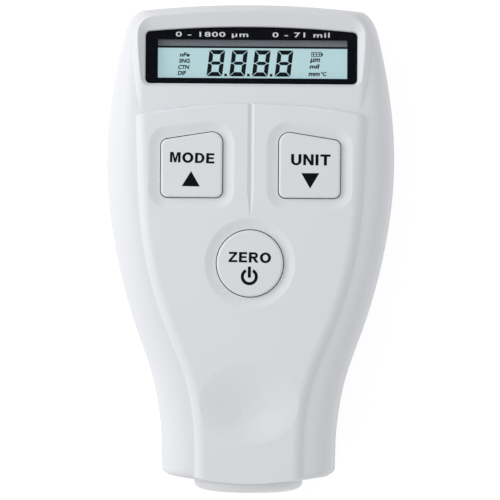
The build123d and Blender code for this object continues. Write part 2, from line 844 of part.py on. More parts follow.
def screw(x, y, seat_z, head_radius, head_height, radius, long):
    """Pan head screw whose shank points up; its cross recess faces down."""
    head = post(x, y, (seat_z - head_height, seat_z), head_radius)
    head = fillet(head.faces().sort_by(Axis.Z)[0].edges(), head_height * head_round)
    slot = (head_radius * recess_long, head_radius * recess_wide)
    for along, across in (slot, slot[::-1]):
        head -= Pos(x, y, seat_z - head_height) * Box(2 * along, 2 * across, head_height)
    return head + post(x, y, (seat_z, seat_z + long), radius)


def housing_screws():
    places = screw_places((top_screw_x, top_screw_y), (low_screw_x, low_screw_y))
    return [
        screw(x, y, well_depth, screw_head_radius, screw_head_height, screw_radius, screw_length)
        for x, y in places
    ]


def board_screws():
    places = screw_places((board_screw_x, board_screw_y), (board_low_screw_x, board_low_screw_y))
    size = (board_screw_head, board_screw_head_height, board_screw_radius, board_screw_length)
    return [screw(x, y, board_low_z, *size) for x, y in places]


def chip(place, size, pins, pitch):
    """Flat moulded chip with pins along its two long sides."""
    x, y = place
    long, deep, high = size
    low = board_top_z
    span_x, span_y = (x - long / 2, x + long / 2), (y - deep / 2, y + deep / 2)
    body = block(span_x, span_y, (low + pin_lift, low + high))
    for i in range(pins):
        pin_x = x + (i - (pins - 1) / 2) * pitch
        body += block(
            (pin_x - pin_width / 2, pin_x + pin_width / 2),
            (y - deep / 2 - pin_reach, y + deep / 2 + pin_reach),
            (low, low + pin_thick),
        )
    return body


def microcontroller():
    return chip((0, key_low_y + chip_rise), (chip_size, chip_size, chip_height), chip_pins, chip_pitch)


def signal_amplifier():
    return chip(amplifier_place, amplifier_size, amplifier_pins, amplifier_pitch)


def regulator():
    return chip(regulator_place, regulator_size, regulator_pins, regulator_pitch)


def crystal():
    """Canned crystal lying on the board, its ends round."""
    can = Pos(0, key_low_y - crystal_drop) * SlotOverall(crystal_length, crystal_width)
    return prism(can, (board_top_z, board_top_z + crystal_height))


def capacitor(side):
    z = (board_top_z, board_top_z + capacitor_height)
    can = post(side * capacitor_x, key_low_y - capacitor_drop, z, capacitor_radius)
    return fillet(can.faces().sort_by(Axis.Z)[-1].edges(), capacitor_round)


def probe_plug():
    """Two-way plug on the board's lower edge that takes the probe's lead."""
    wide, deep, high = plug_size
    y = (board_low_y + stop_gap, board_low_y + stop_gap + deep)
    body = block((-wide / 2, wide / 2), y, (board_top_z, board_top_z + high))
    hole = Rot(90, 0, 0) * Cylinder(lead_radius + pilot_gap, plug_bite)
    return body - Pos(0, y[0] + plug_bite / 2, lead_end_z) * hole


def cell(index):
    """AAA cell; the first and third have their button towards the display."""
    low = bay_low_y + contact_room
    can = cell_length - nub_height
    profile = Polyline(
        (0, 0), (cell_radius - cell_edge, 0), (cell_radius, cell_edge), (cell_radius, can - cell_edge),
        (cell_radius - cell_edge, can), (nub_radius, can), (nub_radius, cell_length), (0, cell_length),
        close=True,
    )
    body = Pos(0, -cell_length / 2) * revolve(make_face(profile), Axis.Y)
    flip = Rot(0, 0, 180 * (index % 2))
    return Pos(cell_xs[index], low + cell_length / 2, cell_z) * flip * body


def contact(xs, at_low_end):
    """Pressed strip contact: a plate on the bay's end wall with a bowed leaf for each cell."""
    wall_y = bay_low_y if at_low_end else bay_high_y
    inward = 1 if at_low_end else -1
    high = (cell_z - contact_height / 2, cell_z + contact_height / 2)
    ys = sorted((wall_y, wall_y + inward * contact_thick))
    plate = block((xs[0] - contact_width / 2, xs[-1] + contact_width / 2), ys, high)
    bow = contact_room - stop_gap
    half = contact_height / 2
    thin = contact_thick
    outer = ThreePointArc((0, -half), (bow, 0), (0, half))
    inner = ThreePointArc((0, half - thin * 2), (bow - thin, 0), (0, -half + thin * 2))
    ends = [Line((0, half), (0, half - thin * 2)), Line((0, -half + thin * 2), (0, -half))]
    face = make_face([outer, inner, *ends])
    for x in xs:
        leaf = extrude(Plane(origin=(x, wall_y, cell_z), x_dir=(0, inward, 0), z_dir=(inward, 0, 0)) * face,
                       contact_width / 3, both=True)
        plate += leaf
    return plate


def end_contact(side):
    """Contact at one end of the row, with the lug that its lead is soldered to."""
    x = cell_xs[0] if side < 0 else cell_xs[3]
    lug = block(
        (x - lug_width / 2, x + lug_width / 2),
        (bay_low_y - bay_wall - lug_reach, bay_low_y + contact_thick),
        (lug_z - contact_thick / 2, lug_z + contact_thick / 2),
    )
    return contact([x], True) + lug


def lead(points, radius):
    """Round lead along straight runs joined by the largest arcs that the runs allow."""
    points = [Vector(*p) for p in points]
    runs = [b - a for a, b in zip(points, points[1:])]
    radii = []
    for first, second in zip(runs, runs[1:]):
        turn = radians(first.get_angle(second))
        radii.append(run_share * min(first.length, second.length) / tan(turn / 2))
    path = FilletPolyline(*points, radius=radii)
    start = Plane(origin=points[0], z_dir=runs[0])
    return sweep(start * Circle(radius), path)


def probe_lead():
    """Sheathed lead from the retaining plug to the plug on the board."""
    end_y = board_low_y + stop_gap + plug_bite - pilot_gap
    long, rise = end_y - retainer_front_y, lead_end_z - probe_z
    route = [
        (x, retainer_front_y + long * along, probe_z + rise * up) for x, along, up in probe_lead_route
    ]
    return lead(route, lead_radius)


def battery_lead(side):
    """Insulated lead from an end contact's lug up to the board."""
    x = side * cell_xs[3]
    y = bay_low_y - bay_wall - lug_reach
    turn_y = y - battery_lead_drop
    route = [
        (x, y, lug_z),
        (x, turn_y, lug_z + battery_lead_rise[0]),
        (x - side * battery_lead_lean, turn_y, lug_z + battery_lead_rise[1]),
        (x - side * battery_lead_lean, turn_y, board_low_z),
    ]
    return lead(route, battery_lead_radius)


def probe_collar():
    """Fixed pale head of the probe: domed rim with a V groove across it, neck, flange and bore."""
    bore = turned(
        (0, collar_rim_y - 1), (barrel_radius + barrel_running_gap, collar_rim_y - 1),
        (barrel_radius + barrel_running_gap, collar_shoulder_y), (spring_bore_radius, collar_shoulder_y),
        (spring_bore_radius, collar_rear_y + 1), (0, collar_rear_y + 1),
    )
    deep = groove_v_depth
    vee = Polyline(
        (collar_rim_y - deep, -2 * deep), (collar_rim_y + deep, 0), (collar_rim_y - deep, 2 * deep),
        close=True,
    )
    cutter = Pos(0, 0, probe_z) * extrude(Plane.YZ * make_face(vee), collar_radius + 1, both=True)
    return collar_solid() - bore - cutter


def probe_barrel():
    """Sliding barrel: a cup with a hole for the tip and a flange that stops it in the collar."""
    inner = barrel_radius - barrel_wall
    hole = core_radius + core_hole_gap
    flange_y = barrel_rear_y - barrel_flange_thick
    return turned(
        (hole, barrel_front_y), (barrel_radius, barrel_front_y), (barrel_radius, flange_y),
        (barrel_flange_radius, flange_y), (barrel_flange_radius, barrel_rear_y),
        (inner, barrel_rear_y), (inner, bobbin_front_y), (hole, bobbin_front_y),
    )


def coil_bobbin():
    rim = barrel_radius - barrel_wall - stop_gap
    hub = core_radius + barrel_wall / 2
    hole = core_radius + core_hole_gap
    near, far = bobbin_front_y, bobbin_rear_y
    return turned(
        (hole, near), (rim, near), (rim, near + bobbin_flange), (hub, near + bobbin_flange),
        (hub, far - bobbin_flange), (rim, far - bobbin_flange), (rim, far), (hole, far),
    )


def coil_winding():
    hub = core_radius + barrel_wall / 2
    near, far = bobbin_front_y + bobbin_flange, bobbin_rear_y - bobbin_flange
    return turned((hub, near), (winding_radius, near), (winding_radius, far), (hub, far))


def probe_core():
    """Ferrite core: domed hard tip, rod through the coil and a disc behind it."""
    tip_y = casing_end - tip_reach
    disc = barrel_radius - barrel_wall - stop_gap
    rear = barrel_rear_y - end_plate_thick
    arc = ThreePointArc(
        (0, tip_y),
        (core_radius * sin(radians(45)), tip_y + core_radius * (1 - cos(radians(45)))),
        (core_radius, tip_y + core_radius),
    )
    rest = Polyline(
        (core_radius, tip_y + core_radius), (core_radius, bobbin_rear_y), (disc, bobbin_rear_y),
        (disc, rear), (0, rear), (0, tip_y),
    )
    return Pos(0, 0, probe_z) * revolve(make_face([arc, *rest.edges()]), Axis.Y)


def barrel_end_plate():
    rim = barrel_radius - barrel_wall - stop_gap
    near, far = barrel_rear_y - end_plate_thick, barrel_rear_y
    return turned((lead_radius, near), (rim, near), (rim, far), (lead_radius, far))


def probe_spring():
    """Coil spring between the barrel's flange and the retaining plug."""
    low, high = barrel_rear_y + spring_wire + stop_gap, retainer_front_y - spring_wire - stop_gap
    radius = (barrel_radius + spring_bore_radius) / 2
    coil = Helix((high - low) / spring_turns, high - low, radius)
    wire = sweep(Plane(origin=coil @ 0, z_dir=coil % 0) * Circle(spring_wire), coil, is_frenet=True)
    return Pos(0, low, probe_z) * Rot(-90, 0, 0) * wire


def probe_retainer():
    """Plug in the collar's inner end: it backs the spring and grips the lead."""
    rim = spring_bore_radius - stop_gap
    near, far = retainer_front_y, collar_rear_y
    hole = lead_radius + stop_gap
    return turned((hole, near), (rim, near), (rim, far), (hole, far))


def nodes():
    """Every separate piece, by name."""
    key_places = {"mode": (-key_x, key_y), "unit": (key_x, key_y), "zero": (0, zero_y)}
    made = {
        "front_housing": front_housing(),
        "rear_housing": rear_housing(),
        "battery_cover": battery_cover(),
        "display_window": display_window(),
        "lcd_glass": lcd_glass(),
        "lcd_polariser": lcd_polariser(),
        "lcd_reflector": lcd_reflector(),
        "display_gasket": display_gasket(),
        "lcd_holder": lcd_holder(),
        "contact_strip": contact_strip(),
        "mode_key": mode_key(),
        "unit_key": unit_key(),
        "zero_key": zero_key(),
        "main_board": main_board(),
        "housing_screws": housing_screws(),
        "board_screws": board_screws(),
        "microcontroller": microcontroller(),
        "signal_amplifier": signal_amplifier(),
        "regulator": regulator(),
        "crystal": crystal(),
        "capacitor_left": capacitor(-1),
        "capacitor_right": capacitor(1),
        "probe_plug": probe_plug(),
        "contact_end_left": end_contact(-1),
        "contact_end_right": end_contact(1),
        "contact_bridge_low": contact(cell_xs[1:3], True),
        "contact_bridge_left": contact(cell_xs[:2], False),
        "contact_bridge_right": contact(cell_xs[2:], False),
        "battery_lead_left": battery_lead(-1),
        "battery_lead_right": battery_lead(1),
        "probe_collar": probe_collar(),
        "probe_barrel": probe_barrel(),
        "coil_bobbin": coil_bobbin(),
        "coil_winding": coil_winding(),
        "probe_core": probe_core(),
        "barrel_end_plate": barrel_end_plate(),
        "probe_spring": probe_spring(),
        "probe_retainer": probe_retainer(),
        "probe_lead": probe_lead(),
    }
    for name, (x, y) in key_places.items():
        made[f"{name}_switch"] = switch_body(x, y)
        made[f"{name}_switch_button"] = switch_button(x, y)
    for i in range(4):
        made[f"cell_{i + 1}"] = cell(i)
    return made


os.makedirs("parts", exist_ok=True)
for name, solid in nodes().items():
    shape = Compound(children=solid) if isinstance(solid, list) else solid
    export_step(shape, f"parts/{name}.step")
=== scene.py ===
from math import cos, radians, sin

import bmesh
import bpy
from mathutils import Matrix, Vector


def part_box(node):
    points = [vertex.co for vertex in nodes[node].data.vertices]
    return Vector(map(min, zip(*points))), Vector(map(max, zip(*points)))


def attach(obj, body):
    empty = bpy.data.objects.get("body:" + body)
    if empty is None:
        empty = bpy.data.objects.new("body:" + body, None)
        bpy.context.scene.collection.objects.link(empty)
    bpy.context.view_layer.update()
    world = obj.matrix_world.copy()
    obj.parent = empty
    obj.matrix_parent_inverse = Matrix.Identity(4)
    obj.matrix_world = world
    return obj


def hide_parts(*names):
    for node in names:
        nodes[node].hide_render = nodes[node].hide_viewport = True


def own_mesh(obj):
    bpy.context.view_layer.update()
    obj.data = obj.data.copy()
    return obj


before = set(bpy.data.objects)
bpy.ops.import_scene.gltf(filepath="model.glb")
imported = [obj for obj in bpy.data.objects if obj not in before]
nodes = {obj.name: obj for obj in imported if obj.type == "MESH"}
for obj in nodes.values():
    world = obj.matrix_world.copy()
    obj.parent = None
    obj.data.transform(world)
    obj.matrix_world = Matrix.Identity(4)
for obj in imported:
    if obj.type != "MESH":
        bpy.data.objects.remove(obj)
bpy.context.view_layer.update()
mm = 0.001


# Housings and battery cover: white ABS mouldings with a fine spark-eroded texture. The front one
# meets the rear one on a joint line round the casing, drawn as a painted shadow; the cover lies
# flush in the back.

class Wire:
    """A shader socket that Python arithmetic works on; each operation adds a Math node."""

    def __init__(self, finish, socket):
        self.finish = finish
        self.socket = socket

    def maths(self, operation, *values):
        return self.finish.node("ShaderNodeMath", {"operation": operation}, dict(enumerate(values)))

    def __add__(self, other):
        return self.maths("ADD", self, other)

    def __radd__(self, other):
        return self.maths("ADD", other, self)

    def __sub__(self, other):
        return self.maths("SUBTRACT", self, other)

    def __rsub__(self, other):
        return self.maths("SUBTRACT", other, self)

    def __mul__(self, other):
        return self.maths("MULTIPLY", self, other)

    def __rmul__(self, other):
        return self.maths("MULTIPLY", other, self)

    def __truediv__(self, other):
        return self.maths("DIVIDE", self, other)

    def __rtruediv__(self, other):
        return self.maths("DIVIDE", other, self)

    def __gt__(self, other):
        return self.maths("GREATER_THAN", self, other)

    def __lt__(self, other):
        return self.maths("LESS_THAN", self, other)

    def __abs__(self):
        return self.maths("ABSOLUTE", self)

    def root(self):
        return self.maths("SQRT", self)

    def ripple(self, pitch):
        """Rises from 0 to 1 and falls back once in each pitch."""
        return self.maths("PINGPONG", self, pitch / 2) / (pitch / 2)


class Finish:
    """A material on one Principled shader, with plain values set on the shader's own sockets."""

    mix_first, mix_second, mix_result = 6, 7, 2     # the Mix node's colour sockets

    def __init__(self, name, colour, roughness=0.5, **settings):
        self.material = bpy.data.materials.new(name)
        self.material.use_nodes = True
        self.tree = self.material.node_tree
        self.shader = self.tree.nodes["Principled BSDF"]
        self.colour = (*colour, 1)
        self.shader.inputs["Base Color"].default_value = self.colour
        self.shader.inputs["Roughness"].default_value = roughness
        for socket, value in settings.items():
            self.shader.inputs[socket.replace("_", " ")].default_value = value
        self.material.diffuse_color = self.colour

    def node(self, kind, settings=None, sockets=None, output=0):
        """Adds a node, sets it and its sockets, and returns one of its outputs."""
        made = self.tree.nodes.new(kind)
        for key, value in (settings or {}).items():
            setattr(made, key, value)
        for key, value in (sockets or {}).items():
            if isinstance(value, Wire):
                self.tree.links.new(value.socket, made.inputs[key])
            else:
                made.inputs[key].default_value = value
        return Wire(self, made.outputs[output])

    def feed(self, socket, wire):
        self.tree.links.new(wire.socket, self.shader.inputs[socket])
        return self

    def place(self):
        return self.node("ShaderNodeTexCoord", output="Object")

    def along(self, axis, start=0.0):
        """Millimetres along an axis from the start."""
        parts = self.node("ShaderNodeSeparateXYZ", sockets={0: self.place()}, output=axis)
        return parts / mm - start

    def noise(self, grain_mm, detail=2.0, stretch=(1, 1, 1)):
        """Noise whose grains are about this many millimetres across."""
        where = self.node("ShaderNodeMapping", sockets={"Vector": self.place(), "Scale": stretch})
        sockets = {"Vector": where, "Scale": 1 / (grain_mm * mm), "Detail": detail}
        return self.node("ShaderNodeTexNoise", sockets=sockets)

    def mixed(self, share, first, second):
        """Colour between two others."""
        sockets = {"Factor": share, self.mix_first: first, self.mix_second: second}
        return self.node("ShaderNodeMix", {"data_type": "RGBA"}, sockets, self.mix_result)

    def drift(self, grain_mm, spread):
        """Colour that drifts by the given spread round the finish's own."""
        low, high = ((*(c * (1 + way * spread) for c in self.colour[:3]), 1) for way in (-1, 1))
        return self.mixed(self.noise(grain_mm), low, high)

    def mottle(self, grain_mm, spread):
        return self.feed("Base Color", self.drift(grain_mm, spread))

    def vary_roughness(self, low, high, grain_mm):
        return self.feed("Roughness", low + (high - low) * self.noise(grain_mm))

    def relief(self, height, depth_mm, strength=1.0):
        """Bump from a height that runs from 0 to 1."""
        sockets = {"Strength": strength, "Distance": depth_mm * mm, "Height": height}
        return self.feed("Normal", self.node("ShaderNodeBump", sockets=sockets))

    def grain(self, grain_mm, depth_mm, strength=1.0, stretch=(1, 1, 1)):
        """Fine irregular bump, as of an eroded mould or rolled metal."""
        return self.relief(self.noise(grain_mm, 3.0, stretch), depth_mm, strength)


def dress(finish, *names):
    """Puts a finish on CAD nodes in place of their plain one."""
    for name in names:
        materials = nodes[name].data.materials
        materials.clear()
        materials.append(finish.material)


# Painted shadow: a thin dark band round the casing at the joint stands in for the shade in the gap
# between the halves.
joint_z, joint_width = 13.5, 0.17
joint_painted_shadow = (0.27, 0.275, 0.29, 1)
shell_white = Finish("shell_white", (0.80, 0.812, 0.845), Specular_IOR_Level=0.42)
on_joint = abs(shell_white.along("Z", joint_z)) < joint_width / 2
shell_colour = shell_white.mixed(on_joint, shell_white.drift(14, 0.012), joint_painted_shadow)
shell_white.feed("Base Color", shell_colour)
shell_white.vary_roughness(0.38, 0.48, 0.9).grain(0.22, 0.004, 0.35)
dress(shell_white, "front_housing", "rear_housing", "battery_cover")


# Keys: three caps of the same plastic, moulded a shade greyer, that move in holes of the front.
# Their words and signs are pad printed in black, and the words stand a little askew.

key_grey = Finish("key_grey", (0.785, 0.80, 0.825), Specular_IOR_Level=0.42)
key_grey.mottle(6, 0.01).vary_roughness(0.38, 0.48, 0.7).grain(0.2, 0.003, 0.3)
dress(key_grey, "mode_key", "unit_key", "zero_key")

ink_black = Finish("ink_black", (0.0038, 0.0042, 0.0062), Specular_IOR_Level=0.06)
ink_black.mottle(0.6, 0.15).vary_roughness(0.32, 0.45, 0.3)
ink_thick = 0.012
key_print_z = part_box("mode_key")[1].z / mm


def show(name, mesh, finish, body):
    """Links a finished mesh as a piece of the object."""
    piece = bpy.data.objects.new(name, mesh)
    bpy.context.scene.collection.objects.link(piece)
    mesh.materials.clear()
    mesh.materials.append(finish.material)
    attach(piece, body)
    return piece


def to_mesh(form, name):
    """Turns a bmesh into a mesh and lets go of it."""
    mesh = bpy.data.meshes.new(name)
    form.to_mesh(mesh)
    form.free()
    return mesh


def flat(form, loops, z):
    """Adds the flat faces between an outline in millimetres and its holes, facing up."""
    edges = []
    for loop in loops:
        corners = [form.verts.new((x * mm, y * mm, z * mm)) for x, y in loop]
        edges += [form.edges.new((a, b)) for a, b in zip(corners, corners[1:] + corners[:1])]
    filled = bmesh.ops.triangle_fill(form, use_beauty=True, edges=edges, normal=(0, 0, 1))["geom"]
    return [part for part in filled if isinstance(part, bmesh.types.BMFace)]


def slab(outlines, z, thick, hole=None):
    """Mesh of flat plates from outlines in millimetres, lying on z; the first may have a hole."""
    form = bmesh.new()
    for outline in outlines:
        faces = flat(form, [outline, hole] if hole else [outline], z)
        lifted = bmesh.ops.extrude_face_region(form, geom=faces)["geom"]
        top = [part for part in lifted if isinstance(part, bmesh.types.BMVert)]
        bmesh.ops.translate(form, vec=(0, 0, thick * mm), verts=top)
        hole = None
    bmesh.ops.recalc_face_normals(form, faces=form.faces)
    return to_mesh(form, "slab")


def oblong(left, right, low, high):
    """Corners of an upright rectangle."""
    return [(left, low), (right, low), (right, high), (left, high)]


def sweep(centre, radii, start, end, steps=20):
    """Points of part of an ellipse, between two angles in degrees."""
    angles = [radians(start + (end - start) * i / steps) for i in range(steps + 1)]
    return [(centre[0] + radii[0] * cos(a), centre[1] + radii[1] * sin(a)) for a in angles]


def bent(centre, outer, inner, start, end):
    """Outline of a bent stroke between two ellipses."""
    return sweep(centre, outer, start, end) + sweep(centre, inner, end, start)


# Each letter is drawn on a cap height of 1: its width, and the outlines of its strokes.
bold, bar, letter_gap = 0.26, 0.205, 0.15
stem = oblong(0, bold, 0, 1)
letters = {
    "M": (0.98, [
        [(0, 0), (0, 1), (0.32, 1), (0.49, 0.38), (0.66, 1), (0.98, 1), (0.98, 0), (0.75, 0),
         (0.75, 0.74), (0.59, 0), (0.39, 0), (0.23, 0.74), (0.23, 0)],
    ]),
    "O": (1.04, [bent((0.52, 0.5), (0.52, 0.52), (0.25, 0.30), a, a + 180) for a in (0, 180)]),
    "D": (0.88, [
        stem,
        bent((0.38, 0.5), (0.50, 0.5), (0.24, 0.295), -90, 90),
        oblong(bold, 0.38, 1 - bar, 1),
        oblong(bold, 0.38, 0, bar),
    ]),
    "E": (0.77, [
        stem,
        oblong(bold, 0.75, 1 - bar, 1),
        oblong(bold, 0.70, 0.42, 0.61),
        oblong(bold, 0.77, 0, bar),
    ]),
    "U": (0.88, [
        bent((0.44, 0.40), (0.44, 0.42), (0.44 - bold, 0.22), 180, 360),
        oblong(0, bold, 0.40, 1),
        oblong(0.88 - bold, 0.88, 0.40, 1),
    ]),
    "N": (0.88, [
        [(0, 0), (0, 1), (0.25, 1), (0.64, 0.38), (0.64, 1), (0.88, 1), (0.88, 0), (0.63, 0),
         (0.24, 0.62), (0.24, 0)],
    ]),
    "I": (bold, [stem]),
    "T": (0.86, [
        oblong(0, 0.86, 1 - bar, 1),
        oblong(0.43 - bold / 2, 0.43 + bold / 2, 0, 1 - bar),
    ]),
    "Z": (0.82, [
        [(0.03, 1), (0.80, 1), (0.80, 0.83), (0.29, bar), (0.82, bar), (0.82, 0), (0, 0),
         (0, 0.17), (0.50, 1 - bar), (0.03, 1 - bar)],
    ]),
    "R": (0.88, [
        stem,
        bent((0.54, 0.70), (0.30, 0.30), (0.06, 0.095), -90, 90),
        oblong(bold, 0.54, 1 - bar, 1),
        oblong(bold, 0.54, 0.40, 0.605),
        [(0.35, 0.41), (0.64, 0.41), (0.93, 0), (0.64, 0)],
    ]),
}


def word_outlines(word, box, tilt):
    """Outlines of a word fitted to box = (left, right, low, high), turned by tilt degrees."""
    left, right, low, high = box
    total = sum(letters[letter][0] for letter in word) + letter_gap * (len(word) - 1)
    across, up = (right - left) / total, high - low
    middle_x, middle_y = (left + right) / 2, (low + high) / 2
    turn_cos, turn_sin = cos(radians(tilt)), sin(radians(tilt))
    outlines, pen = [], left - middle_x
    for letter in word:
        width, strokes = letters[letter]
        for stroke in strokes:
            level = [(pen + x * across, (y - 0.5) * up) for x, y in stroke]
            outlines.append([
                (middle_x + x * turn_cos - y * turn_sin, middle_y + x * turn_sin + y * turn_cos)
                for x, y in level
            ])
        pen += (width + letter_gap) * across
    return outlines


def key_legend(key, word, box, tilt, signs):
    mesh = slab(word_outlines(word, box, tilt) + signs, key_print_z, ink_thick)
    show(key + "_legend", mesh, ink_black, key + "_key_body")


up_arrow = [(-14.57, 13.42), (-10.72, 13.36), (-12.59, 16.62)]
down_arrow = [(10.74, 16.36), (14.57, 16.37), (12.62, 13.09)]
key_legend("mode", "MODE", (-17.08, -7.66, 18.36, 20.52), -1.5, [up_arrow])
key_legend("unit", "UNIT", (8.55, 16.90, 18.02, 20.36), -0.4, [down_arrow])

power_centre, power_radius, power_stroke = (-0.10, -5.65), 1.82, 0.66
power_gap = 29              # degrees that the ring stays open on each side of its top
bar_low, bar_high = -5.86, -3.50
outer, inner = power_radius, power_radius - power_stroke
power_ring = bent(power_centre, (outer, outer), (inner, inner), 90 + power_gap, 450 - power_gap)
bar_left, bar_right = (power_centre[0] + way * power_stroke / 2 for way in (-1, 1))
power_bar = oblong(bar_left, bar_right, bar_low, bar_high)
key_legend("zero", "ZERO", (-4.52, 4.46, -2.66, -0.48), -1.0, [power_ring, power_bar])


# Display window: a clear acrylic plate let into the recess of the front housing. The measuring
# ranges are printed on its back in white, and then a black border behind them.

lens_clear = Finish(
    "lens_clear", (0.02, 0.02, 0.024), Alpha=0.04, IOR=1.49, Specular_IOR_Level=0.14
)
lens_clear.vary_roughness(0.04, 0.09, 3.0)
dress(lens_clear, "display_window")

lens_low, lens_high = (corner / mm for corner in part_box("display_window"))
lens_bow, lens_corner = 1.1, 1.1
border_inset, border_lift, border_thick = 0.02, 0.01, 0.03
border_z = lens_low.z + border_lift
aperture = (-19.85, 20.36, 36.5, 44.62)
crown_steps = 24


def eased(corners, radius, steps=6):
    """The polygon with every corner rounded."""
    outline = []
    for before, at, after in zip(corners[-1:] + corners, corners, corners[1:] + corners[:1]):
        arms = [Vector(before) - Vector(at), Vector(after) - Vector(at)]
        start, end = (Vector(at) + arm.normalized() * radius for arm in arms)
        for i in range(steps + 1):
            t = i / steps
            outline.append(tuple(start * (1 - t) ** 2 + Vector(at) * 2 * t * (1 - t) + end * t**2))
    return outline


def border_outline():
    """Outline of the print: rounded corners, and a top edge that bows."""
    half = lens_high.x - border_inset
    low, high = lens_low.y + border_inset, lens_high.y - border_inset
    bow = (half**2 + lens_bow**2) / (2 * lens_bow)

    def crown(x):
        return high - bow + (bow**2 - x**2) ** 0.5

    rounded = eased(oblong(-half, half, low, high), lens_corner)
    middle = (low + high) / 2
    bowed = [(x, y - high + crown(x) if y > middle else y) for x, y in rounded]
    reach = half - lens_corner
    top_x = [reach * (1 - 2 * i / crown_steps) for i in range(1, crown_steps)]
    third_corner_end = len(bowed) // 4 * 3
    top = [(x, crown(x)) for x in top_x]
    return bowed[:third_corner_end] + top + bowed[third_corner_end:]


border_black = Finish("border_black", (0.0022, 0.0026, 0.0062), Specular_IOR_Level=0.06)
border_black.mottle(4, 0.1).vary_roughness(0.30, 0.40, 1.5)
border = slab([border_outline()], border_z, border_thick, oblong(*aperture))
show("window_border", border, border_black, "casing")


def lettering(text, box, z, weight, slant, spacing, thick):
    """Mesh of a line of text fitted to box = (left, right, low, high) in millimetres, on z."""
    curve = bpy.data.curves.new("text", "FONT")
    curve.body = text
    curve.offset = weight
    curve.shear = slant
    curve.space_character = spacing
    curve.resolution_u = 4
    curve.extrude = 0.001
    writer = bpy.data.objects.new("text", curve)
    bpy.context.scene.collection.objects.link(writer)
    bpy.context.view_layer.update()
    written = writer.evaluated_get(bpy.context.evaluated_depsgraph_get())
    mesh = bpy.data.meshes.new_from_object(written)
    bpy.data.objects.remove(writer)
    bpy.data.curves.remove(curve)
    low = Vector(min(v.co[axis] for v in mesh.vertices) for axis in range(3))
    high = Vector(max(v.co[axis] for v in mesh.vertices) for axis in range(3))
    start = Vector((box[0], box[2], z)) * mm
    size = Vector((box[1] - box[0], box[3] - box[2], thick)) * mm
    for v in mesh.vertices:
        v.co = start + Vector(
            size[axis] * (v.co[axis] - low[axis]) / (high[axis] - low[axis]) for axis in range(3)
        )
    return mesh


def merged(meshes):
    """One mesh from several."""
    form = bmesh.new()
    for mesh in meshes:
        form.from_mesh(mesh)
        bpy.data.meshes.remove(mesh)
    return to_mesh(form, "merged")


ink_white = Finish("ink_white", (0.80, 0.81, 0.83), 0.4)
ink_white.mottle(0.8, 0.02)
range_text, range_box = "0 - 1800 µm     0 - 71 mil", (-16.1, 16.6, 45.0, 46.30)
ranges = lettering(range_text, range_box, border_z + border_thick, 0.016, 0.0, 1.15, ink_thick)
show("range_legend", ranges, ink_white, "casing")


# Display: a liquid crystal cell on a moulded holder, sealed to the housing by a foam frame and
# joined to the board by a striped rubber strip. All its segments show, as on self-test. Its front
# film glows with painted light, so that it looks evenly lit down in its frame, free of its shade.

# Painted light: the film's emission is a glow that takes the shade of the recess off it.
film_painted_glow = (0.56, 0.82, 0.87, 1)
film_aqua = Finish(
    "film_aqua", (0.26, 0.37, 0.38), Emission_Color=film_painted_glow, Emission_Strength=0.52
)
film_aqua.mottle(9, 0.015).vary_roughness(0.35, 0.5, 2.0)
dress(film_aqua, "lcd_polariser")

glass_grey = Finish("glass_grey", (0.265, 0.285, 0.33), Alpha=0.85, IOR=1.52)
glass_grey.mottle(5, 0.05).vary_roughness(0.06, 0.12, 4.0)
dress(glass_grey, "lcd_glass")

reflector_silver = Finish("reflector_silver", (0.62, 0.70, 0.70), Metallic=0.7)
reflector_silver.mottle(3, 0.04).vary_roughness(0.35, 0.5, 1.0)
dress(reflector_silver, "lcd_reflector")

foam_black = Finish("foam_black", (0.025, 0.025, 0.027), 0.95)
foam_black.mottle(0.3, 0.3).grain(0.25, 0.08)
dress(foam_black, "display_gasket")

holder_white = Finish("holder_white", (0.66, 0.665, 0.66))
holder_white.mottle(5, 0.03).vary_roughness(0.42, 0.55, 1.0).grain(0.3, 0.004, 0.4)
dress(holder_white, "lcd_holder")

strip_dark, strip_pale = (0.035, 0.035, 0.037, 1), (0.42, 0.45, 0.47, 1)
strip_pitch = 0.4
stripe_rubber = Finish("stripe_rubber", (0.1, 0.1, 0.1), 0.75)
on_stripe = stripe_rubber.along("X").ripple(strip_pitch) > 0.5
stripe_rubber.feed("Base Color", stripe_rubber.mixed(on_stripe, strip_dark, strip_pale))
stripe_rubber.grain(0.2, 0.01, 0.5)
dress(stripe_rubber, "contact_strip")

film_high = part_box("lcd_polariser")[1] / mm
glass_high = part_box("lcd_glass")[1] / mm
digit_width, digit_height, digit_pitch, digit_count = 3.35, 5.58, 4.84, 4
digits_left, digits_low = -9.56, 36.97
digit_lean = 0.115          # run to the right for each millimetre up
segment_width, segment_gap = 0.90, 0.10
point_size = 0.56
mark_thick = 0.01


def segment_outlines():
    """The seven strokes of a digit as mitred outlines, leaning to the right."""
    width, height, stroke, gap = digit_width, digit_height, segment_width, segment_gap
    middle = height / 2
    upper_left = [
        (0, height - gap), (stroke, height - stroke - gap), (stroke, middle + stroke / 2),
        (stroke / 2, middle + gap), (0, middle + gap),
    ]
    top = [
        (gap, height), (width - gap, height),
        (width - stroke - gap, height - stroke), (stroke + gap, height - stroke),
    ]
    across = [
        (stroke / 2 + gap, middle),
        (stroke + gap, middle + stroke / 2 - gap), (width - stroke - gap, middle + stroke / 2 - gap),
        (width - stroke / 2 - gap, middle),
        (width - stroke - gap, middle - stroke / 2 + gap), (stroke + gap, middle - stroke / 2 + gap),
    ]
    upper_right = [(width - x, y) for x, y in upper_left]
    upper = [upper_left, upper_right, top]
    lower = [[(x, height - y) for x, y in outline] for outline in upper]
    return [
        [(digits_left + x + y * digit_lean, digits_low + y) for x, y in outline]
        for outline in (*upper, across, *lower)
    ]


